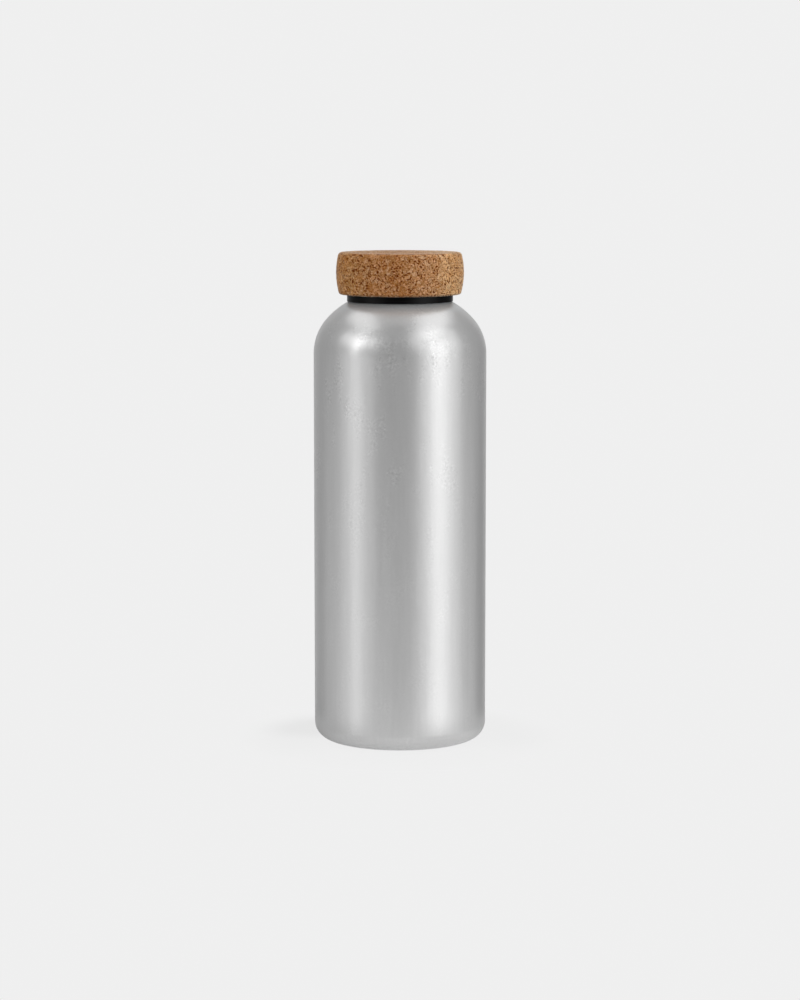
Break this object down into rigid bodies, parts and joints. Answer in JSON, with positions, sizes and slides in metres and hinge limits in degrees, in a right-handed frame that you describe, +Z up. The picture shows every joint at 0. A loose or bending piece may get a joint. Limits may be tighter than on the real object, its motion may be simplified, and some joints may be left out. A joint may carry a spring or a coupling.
{
  "type": "aluminium bottle",
  "caption": "Tall round bottle in satin aluminium with a rounded shoulder, concave base and rolled neck thread, closed by a black screw cap inside a thick barrel-shaped cork cover.",
  "frame": {"origin": "centre of the base, on the plane of the standing ring", "axes": "+Z up along the bottle's axis, out of the neck; +X and +Y are free, because the bottle is round"},
  "size_m": [0.073, 0.073, 0.2074],
  "materials": {
    "blasted_aluminium": "fine satin, blasted and clear anodised",
    "black_plastic": "moulded, smooth satin",
    "pale_silicone": "soft, matt, slightly translucent",
    "agglomerated_cork": "ground cork granules, sanded, uncoated"
  },
  "bodies": {
    "bottle": {"bottle_shell": "blasted_aluminium"},
    "seal": {"seal_ring": "pale_silicone"},
    "lid": {"threaded_cap": "black_plastic", "cork_cover": "agglomerated_cork"}
  },
  "joints": [
    {"name": "lid_lift", "type": "slide", "parent": "bottle", "child": "seal", "axis": [0, 0, 1], "range_m": [0, 0.0151]},
    {"name": "lid_turn", "type": "hinge", "parent": "seal", "child": "lid", "pos_m": [0, 0, 0.1998], "axis": [0, 0, 1], "range_deg": [0, 1080]}
  ],
  "couplings": [
    {"joint": "lid_lift", "follows": "lid_turn", "m_per_rad": 0.00079577}
  ]
}
